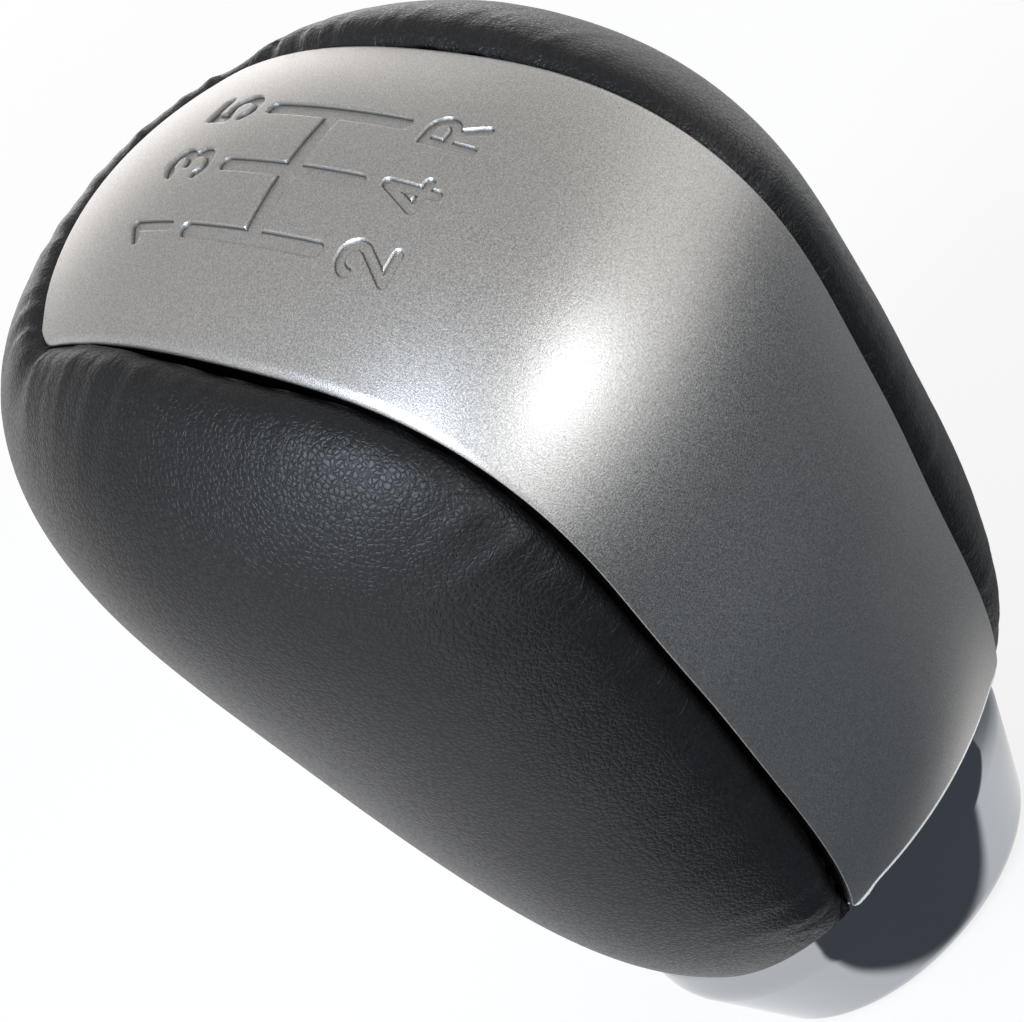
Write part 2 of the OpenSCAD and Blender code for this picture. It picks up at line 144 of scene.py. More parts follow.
def remap(tree, value, span=(0.0, 1.0), out=(0.0, 1.0), kind="SMOOTHSTEP"):
    # takes span to out, eased as in smoothStep, or evenly when kind is LINEAR
    return addNode(tree, "MapRange", {"interpolation_type": kind},
                   {"Value": value, "From Min": span[0], "From Max": span[1],
                    "To Min": out[0], "To Max": out[1]}).outputs[0]


# The grip's form, in millimetres and degrees

knob = dict(
    # side outline every 30 degrees
    reach=(43.5, 42.7, 38.2, 33.5, 32.2, 32.0, 26.2, 24.8, 30.0, 40.4, 43.1, 45.9),
    width=50, spread=3.3, full=1.8, frontIn=2.0, endIn=10.8,
    middle=(-8.7, 46.0), halfHeight=40, halfDepth=30,
    squareSide=3.35, squareFront=2.23, collarTop=11.5,
)
plateForm = dict(
    widths=(25.5, 27.0, 25.6, 21.5), angles=(72.0, 120.0, 180.0, 254.0), front=71.2,
    sag=3.0, frontBow=4.0, footRunOn=2.5, corner=1.7, footCorner=0.9, thick=2.0,
    edgeRun=0.65, edgeDrop=0.42, rearSharper=0.75, rear=(132, 168), footRun=0.15, footDrop=0.15,
    # painted highlight: span from the foot in which the plate is painted pale
    paintedHighlight=(0.5, 0.62),  # pale strip along the foot
)


def sideReach(phi):
    # smoothest closed wave through the twelve reaches
    x = np.radians(np.asarray(phi, float)[..., None] - 30 * np.arange(12))
    half = np.where(np.abs(np.sin(x / 2)) < 1e-6, 1.0, np.tan(x / 2))
    wave = np.where(np.abs(np.sin(x / 2)) < 1e-6, 1.0, np.sin(6 * x) / (12 * half))
    return wave @ np.array(knob["reach"])


def padPoint(phi, b, depth=0.0):
    # left pad: phi turns round the side outline, b is 0 in the pad's middle and 90 on the centre line
    f, s = np.radians(phi), np.sin(np.radians(b))
    r = (sideReach(phi) - depth) * s
    y, z = r * np.cos(f), r * np.sin(f)
    q, p = z / knob["halfHeight"], y / knob["halfDepth"]
    half = (knob["width"] / 2 - depth + knob["spread"] * q + knob["full"] * q * q
            - knob["frontIn"] * p - knob["endIn"] * p * p / (1 + p * p))
    x = half * np.maximum(1 - s ** knob["squareSide"], 0) ** (1 / knob["squareFront"])
    return np.stack([-x, knob["middle"][0] + y, knob["middle"][1] + z], -1)


def padAngle(phi, x):
    # b at which the left pad lies x from the centre line, by halving
    lo, hi = np.zeros_like(phi), np.full_like(phi, 90.0)
    for _ in range(30):
        mid = (lo + hi) / 2
        wide = -padPoint(phi, mid)[..., 0] > x
        lo, hi = np.where(wide, mid, lo), np.where(wide, hi, mid)
    return (lo + hi) / 2


def plateHalf(phi):
    # half of the cubic through the plate's four widths
    f = np.clip(phi, plateForm["angles"][0], plateForm["angles"][3])
    total = 0
    for i, width in enumerate(plateForm["widths"]):
        term = width
        for j, angle in enumerate(plateForm["angles"]):
            if j != i:
                term = term * (f - angle) / (plateForm["angles"][i] - angle)
        total = total + term
    return total / 2


def platePoint(phi, x, depth=0.0):
    # the plate falls off from its centre line as a parabola
    r = sideReach(phi) - plateForm["sag"] * (x / (plateForm["widths"][1] / 2)) ** 2 - depth
    f = np.radians(phi)
    return np.stack([x + 0 * r, knob["middle"][0] + r * np.cos(f), knob["middle"][1] + r * np.sin(f)], -1)


def outlineAt(height, lo, hi):
    # angle of the side outline at a height, by halving
    f = np.linspace(lo, hi, 4001)
    z = knob["middle"][1] + sideReach(f) * np.sin(np.radians(f))
    return float(f[np.argmin(np.abs(z - height))])


# the plate and the cover end a little above the collar, behind and in front
phiFoot = outlineAt(knob["collarTop"] + 0.3, 200, 268)
phiFrontFoot = outlineAt(knob["collarTop"] + 0.2, 272, 350) - 360


# Leather cover

leather = dict(
    # beside the plate: the gap, more of it round one angle, and the skin's roll into the slot
    gap=0.35, gapMore=0.7, gapAt=110, gapWide=20, run=1.9, drop=1.9, wall=3.6, thick=1.2,
    # where it turns in over the collar
    footRun=1.3, footDrop=0.5, footWall=0.9, footGap=0.25,
    rays=560, columns=66, inner=14, crowding=1.7, foam=2.9, innerReach=0.95,
    pleat=0.05, frontPleat=0.1, frontFade=(14, 30), pleatLength=3.1, pleatReach=5.5,
    lift=0.22, liftAt=3.2, liftWide=2.6,
    centre=(0.34, -0.08),  # where the rays start, in the pad's round map
)


def leatherEdge():
    # left half of the cover's free edge as (phi, x): front centre, round the plate's corner, down its side
    t = np.linspace(0, 1, 60)
    cut = plateForm["corner"]
    frontPhi = plateForm["front"] - plateForm["frontBow"] * (1 - t ** 2)
    frontX = t * (plateHalf(frontPhi) - cut)
    toMm = np.radians(1) * 33.5  # one degree on the crown, in millimetres
    s = np.concatenate([np.linspace(0, cut, 24)[1:], np.linspace(cut, 400, 900)[1:]])
    sidePhi = plateForm["front"] + s / toMm
    keep = sidePhi < phiFoot + 6
    sidePhi, s = sidePhi[keep], s[keep]
    inset = np.where(s < cut, cut * (1 - np.sqrt(1 - (1 - np.minimum(s, cut) / cut) ** 2)), 0)
    sideX = plateHalf(sidePhi) - inset
    u, x = np.concatenate([frontPhi, sidePhi]) * toMm, np.concatenate([frontX, sideX])
    du, dx = np.gradient(u), np.gradient(x)
    size = np.hypot(du, dx)
    away = (u / toMm - leather["gapAt"]) / leather["gapWide"]
    gap = leather["gap"] + leather["gapMore"] * np.exp(-away ** 2)
    u, x = u - gap * dx / size, x + gap * du / size
    x[0] = 0
    return u / toMm, x


def leatherOutline():
    # closed outline of the left half in (phi, b): free edge, foot on the collar, then the front centre line
    phi, x = leatherEdge()
    b = padAngle(phi, x)
    rimHigh = knob["collarTop"] + leather["footGap"]
    drop = (knob["middle"][1] - rimHigh) / np.maximum(-sideReach(phi) * np.sin(np.radians(phi)), 1)
    under = (phi > 200) & (drop < np.sin(np.radians(b)))
    stop = int(np.argmax(under)) if under.any() else len(phi)
    phi, b = phi[:stop], b[:stop]
    footPhi = phi[-1] + (phiFrontFoot + 360 - phi[-1]) * np.sin(np.linspace(0, np.pi / 2, 160))
    footB = np.degrees(np.arcsin(np.clip(
        (knob["middle"][1] - rimHigh) / (-sideReach(footPhi) * np.sin(np.radians(footPhi))), 0, 1)))
    seamPhi = np.linspace(phiFrontFoot, phi[0], 200)[1:-1]
    seamB = np.full_like(seamPhi, 90.0)
    allPhi = np.concatenate([phi, footPhi, seamPhi + 360])
    allB = np.concatenate([b, footB, seamB])
    kind = np.concatenate([np.zeros(len(phi)), np.ones(len(footPhi)), np.full(len(seamPhi), 2)])
    return allPhi, allB, kind


def mapPoint(phi, b):
    # round map of the pad: phi is the angle, b / 90 the distance from the middle
    f = np.radians(phi)
    return np.stack([b / 90 * np.cos(f), b / 90 * np.sin(f)], -1)


def padFromMap(m, depth=0.0):
    # back from the round map to the pad
    phi = np.degrees(np.arctan2(m[..., 1], m[..., 0]))
    return padPoint(phi, 90 * np.linalg.norm(m, axis=-1), depth)


def mapNormal(m):
    # outward normal of the left pad by small steps in the map
    e = 2e-4
    size = np.linalg.norm(m, axis=-1, keepdims=True)
    inside = m * np.minimum(1, (1 - 3 * e) / np.maximum(size, 1e-9))
    dx = padFromMap(inside + [e, 0]) - padFromMap(inside - [e, 0])
    dy = padFromMap(inside + [0, e]) - padFromMap(inside - [0, e])
    n = unit(np.cross(dy, dx))
    n[size[..., 0] > 1 - 3 * e, 0] = 0
    return unit(n)


def nearest(points, line):
    # distance from each point to a polyline's points, and the number of the nearest one
    flat = points.reshape(-1, 3)
    dist, index = np.empty(len(flat)), np.empty(len(flat), int)
    for start in range(0, len(flat), 4000):
        d = ((flat[start:start + 4000, None] - line[None]) ** 2).sum(-1)
        index[start:start + 4000] = d.argmin(1)
        dist[start:start + 4000] = np.sqrt(d.min(1))
    return dist.reshape(points.shape[:-1]), index.reshape(points.shape[:-1])


def leatherHalf(side):
    # rays from the pad's middle to its outline; the skin rolls in along the free edge
    phi, b, kind = leatherOutline()
    edge = mapPoint(phi, b)
    edge3 = padFromMap(edge)
    closed = np.vstack([edge3, edge3[:1]])
    along = np.concatenate([[0], np.cumsum(np.linalg.norm(np.diff(closed, axis=0), axis=1))])
    n = leather["rays"]
    at = along[-1] * np.arange(n) / n
    seamStart = int(np.argmax(kind == 2))
    for corner in (0.0, along[seamStart]):
        at[np.argmin(np.abs(at - corner))] = corner
    edgeX = np.interp(at, along, np.append(edge[:, 0], edge[0, 0]))
    edgeY = np.interp(at, along, np.append(edge[:, 1], edge[0, 1]))
    seam = (at >= along[seamStart] - 1e-9) | (at == 0)
    ends = np.stack([edgeX, edgeY], -1)
    ends[seam] /= np.linalg.norm(ends[seam], axis=-1, keepdims=True)
    start = np.array(leather["centre"])
    t = 1 - (1 - np.linspace(0, 1, leather["columns"])) ** leather["crowding"]
    m = start + (ends - start)[:, None] * t[None, :, None]
    top = padFromMap(m)
    normal = mapNormal(m)
    onSeam = seam[:, None] & (t[None] == 1)
    top[onSeam, 0] = 0

    free = kind < 2
    line = edge3[free]
    lineKind = kind[free]
    lineAt = along[:-1][free]
    dist, index = nearest(top, line)
    footFrom = lineAt[lineKind == 1][0]
    foot = smoothStep(lineAt[index], footFrom - 6, footFrom + 3)
    run = leather["run"] + foot * (leather["footRun"] - leather["run"])
    drop = leather["drop"] + foot * (leather["footDrop"] - leather["drop"])
    near = np.clip(1 - dist / run, 0, 1)
    sink = drop * (1 - np.sqrt(1 - near ** 2))
    signed = side * lineAt[index]
    fade = np.exp(-(dist / leather["pleatReach"]) ** 1.5) * (1 - foot)
    front = 1 - smoothStep(lineAt[index], *leather["frontFade"])
    pleats = (leather["pleat"] + front * leather["frontPleat"]) * fade
    pleats = pleats * ripple(signed / leather["pleatLength"] + 0.06 * dist, 4)
    puff = leather["lift"] * np.exp(-((dist - leather["liftAt"]) / leather["liftWide"]) ** 2)
    puff = puff * (1 - foot) * smoothStep(dist, 0, 3)
    top = top + normal * (pleats + puff - sink)[..., None]
    top[onSeam, 0] = 0

    down = np.linspace(0, 1, 5)[1:]
    fall = unit(np.stack([0 * ends[:, 0], ends[:, 0], ends[:, 1]], -1))
    wallDeep = leather["wall"] - drop[:, -1]
    wallDeep = np.where(foot[:, -1] > 0.5, leather["footWall"], wallDeep)
    wall = top[:, -1:, :] - fall[:, None] * (wallDeep[:, None] * down[None])[..., None]
    k = np.linspace(1, 0, leather["inner"])
    mIn = start + (ends - start)[:, None] * (k[None, :, None] * leather["innerReach"])
    seamIn = start + (ends - start)[:, None] * k[None, :, None]
    mIn[seam] = seamIn[seam]
    under = padFromMap(mIn, leather["thick"] + leather["foam"])
    under[seam, 0, 0] = 0
    points = np.concatenate([top, wall, under], 1)
    if side < 0:
        points = points * [-1, 1, 1]
    rows, cols = points.shape[:2]
    quads = gridFaces(rows, cols, closedRows=True)
    row, col = np.divmod(np.arange(rows * (cols - 1)), cols - 1)
    nextRow = (row + 1) % rows
    wallFrom = leather["columns"] - 1
    isWall = (col >= wallFrom) & (col < wallFrom + len(down) + 1)
    keep = ~(isWall & seam[row] & seam[nextRow])
    quads = quads[keep]
    if side < 0:
        quads = quads[:, ::-1]
    unseen = cols - leather["columns"]
    distance = np.concatenate([dist, np.zeros((rows, unseen))], 1)
    alongEdge = np.concatenate([signed, np.repeat(signed[:, -1:], unseen, 1)], 1)
    return points.reshape(-1, 3), quads, distance.reshape(-1), alongEdge.reshape(-1)


def buildLeather():
    # both halves as one closed skin, joined on the front centre line
    left = leatherHalf(1)
    right = leatherHalf(-1)
    points = np.vstack([left[0], right[0]])
    quads = np.vstack([left[1], right[1] + len(left[0])])
    obj = makeMesh("leatherCover", points, quads)
    addAttribute(obj, "edgeDistance", np.concatenate([left[2], right[2]]))
    addAttribute(obj, "edgeAlong", np.concatenate([left[3], right[3]]))
    mergeDoubles(obj)
    return obj


# Centre plate

pattern = dict(
    middleAt=107.2, shift=-0.15, spacing=5.3, front=-6.4, rear=5.75, groove=1.2,
    barAt=-0.28, barTurn=-0.09, barHalf=0.8,  # the cross slot, a little wider and a little turned
    digitFront=-8.0, digitRear=7.5, digitHigh=4.75, digitWide=2.85, stroke=0.86,
    deep=0.27, wallRun=0.06, lip=0.012, cell=0.095,
)


def digitStrokes():
    # centre lines of the generic numerals, in a box of the digit's width and height
    s = pattern["stroke"] / 2
    w, h = pattern["digitWide"], pattern["digitHigh"]
    lo, hi, base, top = s, w - s, s, h - s
    mid = w / 2

    def arc(cx, cy, rx, ry, start, stop, count=14):
        a = np.radians(np.linspace(start, stop, count))
        return [(cx + rx * math.cos(v), cy + ry * math.sin(v)) for v in a]

    half = (hi - lo) / 2
    upper, waist = top - half, h * 0.53
    one = [[(mid - 0.75, top - 0.75), (mid + 0.3, top), (mid + 0.3, base)]]
    two = [arc(mid, upper, half, half, 175, -35) + [(lo, base), (hi, base)]]
    three = [arc(mid, (top + waist) / 2, half, (top - waist) / 2, 155, -90)
             + arc(mid, (base + waist) / 2, half, (waist - base) / 2, 90, -155)]
    four = [[(hi + 0.1, base + 1.0), (lo - 0.1, base + 1.0), (mid + 0.35, top), (mid + 0.35, base)]]
    bowl = waist + 0.35
    five = [[(hi - 0.1, top), (lo + 0.1, top), (lo, waist)]
            + arc(mid, (base + bowl) / 2, half, (bowl - base) / 2, 125, -150)]
    reverse = [[(lo, base), (lo, top)] + arc(mid, (top + waist) / 2, half, (top - waist) / 2, 90, -90)
               + [(lo, waist)], [(mid, waist), (hi, base)]]
    return dict(one=one, two=two, three=three, four=four, five=five, reverse=reverse)


def patternSegments():
    # every stroke as straight pieces in (along, across) millimetres, with its half width
    segments = []
    gap, bar, turn = pattern["spacing"], pattern["barAt"], pattern["barTurn"]
    for col in (-1, 0, 1):
        segments.append((pattern["front"], col * gap, pattern["rear"], col * gap, pattern["groove"] / 2))
    reach = gap - pattern["barHalf"] + pattern["groove"] / 2
    segments.append((bar - turn, -reach, bar + turn, reach, pattern["barHalf"]))
    strokes = digitStrokes()
    ends = dict(one=(-1, -1), three=(-1, 0), five=(-1, 1), two=(1, -1), four=(1, 0), reverse=(1, 1))
    for name, (end, col) in ends.items():
        foot = pattern["digitFront"] if end < 0 else pattern["digitRear"] + pattern["digitHigh"]
        left = col * gap - pattern["digitWide"] / 2
        for line in strokes[name]:
            for (x1, y1), (x2, y2) in zip(line, line[1:]):
                segments.append((foot - y1, left + x1, foot - y2, left + x2, pattern["stroke"] / 2))
    return np.array(segments)


def patternDistance(u, x):
    # signed distance to the nearest stroke's edge, below 0 inside it, and the way out of it
    seg = patternSegments()
    a, b, r = seg[:, 0:2], seg[:, 2:4], seg[:, 4]
    p = np.stack([u, x], -1).reshape(-1, 2)
    best = np.full(len(p), 1e9)
    way = np.zeros_like(p)
    for k in range(len(seg)):
        ab = b[k] - a[k]
        t = np.clip(((p - a[k]) @ ab) / (ab @ ab), 0, 1)
        v = p - (a[k] + t[:, None] * ab)
        d = np.hypot(v[:, 0], v[:, 1])
        closer = d - r[k] < best
        best = np.where(closer, d - r[k], best)
        way[closer] = v[closer] / np.maximum(d[closer], 1e-9)[:, None]
    return best.reshape(u.shape), way.reshape(*u.shape, 2)


def spacedLine(marks):
    # numbers from mark to mark, each stretch at its own spacing
    out = [np.array([marks[0][0]])]
    for (start, _), (stop, step) in zip(marks, marks[1:]):
        count = max(1, round((stop - start) / step))
        out.append(np.linspace(start, stop, count + 1)[1:])
    return np.concatenate(out)


def cornerCut(dist, radius):
    # how far a round corner stands back from the side, dist from the end edge
    u = 1 - np.clip(dist, 0, radius) / radius
    return radius * (1 - np.sqrt(np.maximum(1 - u * u, 0)))


def buildPlate():
    # rows run along the plate, columns across it; strokes sink the grid, edges roll over
    phi0 = plateForm["front"] - plateForm["frontBow"]
    fine = np.linspace(phi0, phiFoot + plateForm["footRunOn"], 6001)
    mid = platePoint(fine, 0 * fine)
    length = np.concatenate([[0], np.cumsum(np.linalg.norm(np.diff(mid, axis=0), axis=1))])
    # rows and columns are close together at the edges and in the pattern
    total = np.interp(phiFoot, fine, length)
    centre = np.interp(pattern["middleAt"], fine, length)
    reach = pattern["digitRear"] + pattern["digitHigh"] + 0.5
    cell = pattern["cell"]
    run = plateForm["edgeRun"]
    along = spacedLine([(0, 0), (0.12, 0.02), (run, 0.09), (centre - reach, 0.45), (centre + reach, cell),
                        (total - 1.5, 0.6), (total - 0.5, 0.1), (total, 0.04)])
    wide = plateForm["widths"][1] / 2
    side = pattern["spacing"] + pattern["digitWide"] / 2 + 0.7
    across = spacedLine([(-wide, 0), (-wide + 0.12, 0.02), (-wide + run, 0.1), (-side, 0.4), (side, cell),
                         (wide - run, 0.4), (wide - 0.12, 0.1), (wide, 0.02)])
    s, t = np.meshgrid(along, across / wide, indexing="ij")
    front = plateForm["front"] - plateForm["frontBow"] * (1 - t ** 2)
    foot = phiFoot + plateForm["footRunOn"] * t ** 2
    frontS, footS = np.interp(front, fine, length), np.interp(foot, fine, length)
    # rows near the front edge follow its bow, rows near the foot follow the foot's curve
    fromFront = frontS * (1 - smoothStep(s, 0, centre - reach))
    fromFoot = (total - footS) * smoothStep(s, centre + reach, total)
    arc = s + fromFront - fromFoot
    dFront, dFoot = arc - frontS, footS - arc
    cut = np.maximum(cornerCut(dFront, plateForm["corner"]), cornerCut(dFoot, plateForm["footCorner"]))
    phi = np.interp(arc, length, fine)
    halfHere = plateHalf(phi) - cut
    # columns keep their distance from the middle inside the pattern, and follow the edge outside it
    x = t * wide
    share = smoothStep(np.abs(x), side, wide)
    x = np.sign(x) * (np.abs(x) - share * (wide - halfHere))
    ux, way = patternDistance(arc - centre, x - pattern["shift"])
    onTop = np.abs(ux) < cell / 2
    onFloor = (ux <= -cell / 2) & (ux > -1.5 * cell)
    shift = np.where(onTop, -ux, np.where(onFloor, -pattern["wallRun"] - ux, 0))
    arc = arc + shift * way[..., 0]
    x = x + shift * way[..., 1]
    phi = np.interp(arc, length, fine)
    sunk = np.where(ux <= -cell / 2, pattern["deep"], 0) + np.where(onTop, pattern["lip"], 0)
    sideDist = plateHalf(phi) - cut - np.abs(x)
    sharper = 1 - plateForm["rearSharper"] * smoothStep(phi, *plateForm["rear"])
    sideEdge = np.minimum(sideDist, dFront) / (plateForm["edgeRun"] * sharper)
    footEdge = dFoot / plateForm["footRun"]
    near = np.clip(1 - np.minimum(sideEdge, footEdge), 0, 1)
    atFoot = smoothStep(sideEdge - footEdge, -0.6, 0.6)
    fall = atFoot * plateForm["footDrop"] + (1 - atFoot) * sharper * plateForm["edgeDrop"]
    roll = fall * (1 - np.sqrt(1 - near ** 2))
    top = platePoint(phi, x, sunk + roll)
    rows, cols = top.shape[:2]
    back = platePoint(phi, x, np.full(phi.shape, plateForm["thick"]))
    pickRow = np.unique(np.concatenate([[0], np.arange(0, rows, 8), [rows - 1]]))
    pickCol = np.unique(np.concatenate([[0], np.arange(0, cols, 8), [cols - 1]]))
    # rim of the top and of the back, as one loop each
    ring = gridRim(rows, cols)
    points = np.vstack([top.reshape(-1, 3), back.reshape(-1, 3)[ring]])
    base = rows * cols
    topFaces = gridFaces(rows, cols)
    k = np.arange(len(ring))
    nextK = (k + 1) % len(ring)
    wallFaces = np.stack([ring[k], ring[nextK], base + nextK, base + k], -1)
    # the back is a coarse grid inside its rim
    inner = back[pickRow[1:-1]][:, pickCol[1:-1]]
    innerBase = len(points)
    points = np.vstack([points, inner.reshape(-1, 3)])
    innerFaces = gridFaces(inner.shape[0], inner.shape[1], base=innerBase)[:, ::-1]
    rn, cn = inner.shape[:2]
    innerRing = innerBase + gridRim(rn, cn)
    ringXyz, innerXyz = points[base:base + len(ring)], points[innerRing]
    # each rim point is joined to the inner rim point at the same share of the way round
    match = matchRings(ringXyz, innerXyz)
    band = np.stack([base + nextK, base + k, innerRing[match[k]], innerRing[match[nextK]]], -1)
    same = band[:, 2] == band[:, 3]
    quads = np.vstack([topFaces, wallFaces, innerFaces, band[~same]])
    faces = quads.tolist() + band[same, :3].tolist()
    obj = makeMesh("centrePlate", points, faces)
    # painted shade: marks the points at the foot of each groove's walls
    grooveShade = np.zeros(len(points))
    grooveShade[:base] = onFloor.reshape(-1)
    addAttribute(obj, "grooveShade", grooveShade)
    # painted highlight along the plate's foot edge
    paintedHighlight = np.zeros(len(points))
    paintedHighlight[:base] = 1 - smoothStep(dFoot, *plateForm["paintedHighlight"]).reshape(-1)
    paintedHighlight[base:base + len(ring)] = paintedHighlight[ring]
    addAttribute(obj, "paintedFootHighlight", paintedHighlight)
    # painted shade on the plate's side walls and back
    dark = np.ones(len(points))
    dark[:base] = 0
    dark[ring] = 1
    addAttribute(obj, "paintedWallShade", dark)
    mergeDoubles(obj, 1e-7)
    return obj


def matchRings(outer, inner):
    # index of an inner rim point for each outer one, never running backwards
    d = ((outer[:, None] - inner[None]) ** 2).sum(-1)
    first = int(d[0].argmin())
    count = len(inner)
    guess = (d.argmin(1) - first) % count
    guess[0] = 0
    guess = np.where(guess > count * 0.9, np.where(np.arange(len(guess)) < len(guess) * 0.2, 0, guess), guess)
    guess = np.maximum.accumulate(guess)
    return (guess + first) % count


# Collar

collar = dict(rim=16.4, high=11.5, band=3.0, taper=4.1, wall=1.6, socket=9.0, socketDeep=4.2,
              lowerRound=2.4, shoulderRound=4.0, rimRound=0.6, segments=256)


def roundCorner(before, corner, after, radius, count=6):
    # arc of points that rounds one corner of an outline
    p, c, q = map(np.array, (before, corner, after))
    u, v = unit(p - c), unit(q - c)
    half = math.acos(np.clip(u @ v, -1, 1)) / 2
    setBack = radius / math.tan(half)
    centre = c + unit(u + v) * radius / math.sin(half)
    start, stop = c + u * setBack - centre, c + v * setBack - centre
    a0, a1 = math.atan2(start[1], start[0]), math.atan2(stop[1], stop[0])
    turn = (a1 - a0 + math.pi) % (2 * math.pi) - math.pi
    a = a0 + turn * np.linspace(0, 1, count)
    return [(centre[0] + radius * math.cos(v), centre[1] + radius * math.sin(v)) for v in a]


def roundedOutline(corners, count=6):
    # corners as (r, z, rounding); plain ones have rounding 0
    out = []
    n = len(corners)
    for i, (r, z, rad) in enumerate(corners):
        if rad:
            before, after = corners[i - 1][:2], corners[(i + 1) % n][:2]
            out += roundCorner(before, (r, z), after, rad, count if rad < 2 else 24)
        else:
            out.append((r, z))
    return np.array(out)


def turned(name, outline, segments):
    # outline carried round the Z axis
    a = 2 * np.pi * np.arange(segments) / segments
    r, z = outline[:, 0], outline[:, 1]
    points = np.stack([np.outer(np.cos(a), r), np.outer(np.sin(a), r), np.tile(z, (segments, 1))], -1)
    return makeMesh(name, points.reshape(-1, 3), gridFaces(segments, len(outline), True, True))


def buildCollar():
    # a straight band over a cone, with a socket in its floor
    c = collar
    bandLow, inner = c["high"] - c["band"], c["rim"] - c["wall"]
    floorEdge = inner - c["taper"] * (bandLow - c["socketDeep"]) / bandLow
    corners = [(c["socket"], 0, 0.12), (c["rim"] - c["taper"], 0, c["lowerRound"]),
               (c["rim"], bandLow, c["shoulderRound"]), (c["rim"], c["high"], c["rimRound"]),
               (inner, c["high"], 0.2), (inner, bandLow, 0), (floorEdge, c["socketDeep"], 0.1),
               (c["socket"], c["socketDeep"], 0.1)]
    obj = turned("chromeCollar", roundedOutline(corners), c["segments"])
    mergeDoubles(obj)
    return obj


# Threaded insert

insert = dict(across=16, flat=7, flange=19.4, flangeHigh=2, low=4.35, high=32, bore=5.375, pitch=1.25,
              threadDeep=0.62, chamfer=0.8, blind=5, grooves=(16, 8), grooveHigh=2.4, grooveDeep=1.2,
              segments=96)


def buildInsert():
    # outline turned round Z with two flats; the thread is a helical ridge on the bore
    c = insert
    low, top = c["low"], c["low"] + c["high"]
    r = c["across"] / 2
    flangeTop, slim = low + c["flangeHigh"], r - c["grooveDeep"]
    outside = [(c["bore"] + c["chamfer"], low), (c["flange"] / 2, low),
               (c["flange"] / 2, flangeTop), (r, flangeTop)]
    for down in c["grooves"]:
        z = top - down
        outside += [(r, z), (slim, z), (slim, z + c["grooveHigh"]), (r, z + c["grooveHigh"])]
    outside += [(r, top), (0.01, top), (0.01, top - c["blind"] + 0.2), (c["bore"], top - c["blind"])]
    threadTop, threadLow = top - c["blind"], low + c["chamfer"]
    steps = int((threadTop - threadLow) / c["pitch"] * 10)
    z = np.linspace(threadTop, threadLow, steps)[1:]
    a = 2 * np.pi * np.arange(c["segments"]) / c["segments"]
    outer = np.array(outside)
    ringOut = np.stack([np.outer(np.cos(a), outer[:, 0]), np.outer(np.sin(a), outer[:, 0]),
                        np.tile(outer[:, 1], (len(a), 1))], -1)
    body = (outer[:, 1] > low + c["flangeHigh"] + 0.01) | (outer[:, 0] == r)
    ringOut[:, body, 0] = np.clip(ringOut[:, body, 0], -c["flat"], c["flat"])
    turn = (z[None] / c["pitch"] - a[:, None] / (2 * np.pi)) % 1
    ridge = np.clip(1.15 - np.abs(turn - 0.5) * 3.0, 0, 1)
    fade = smoothStep(z, threadLow, threadLow + 0.6) * (1 - smoothStep(z, threadTop - 1.0, threadTop - 0.2))
    radius = c["bore"] + c["threadDeep"] * ridge * fade
    ringIn = np.stack([np.cos(a)[:, None] * radius, np.sin(a)[:, None] * radius, np.tile(z, (len(a), 1))], -1)
    points = np.concatenate([ringOut, ringIn], 1)
    faces = gridFaces(points.shape[0], points.shape[1], True, True)
    return makeMesh("steelInsert", points.reshape(-1, 3), faces, smooth=False)


# Materials

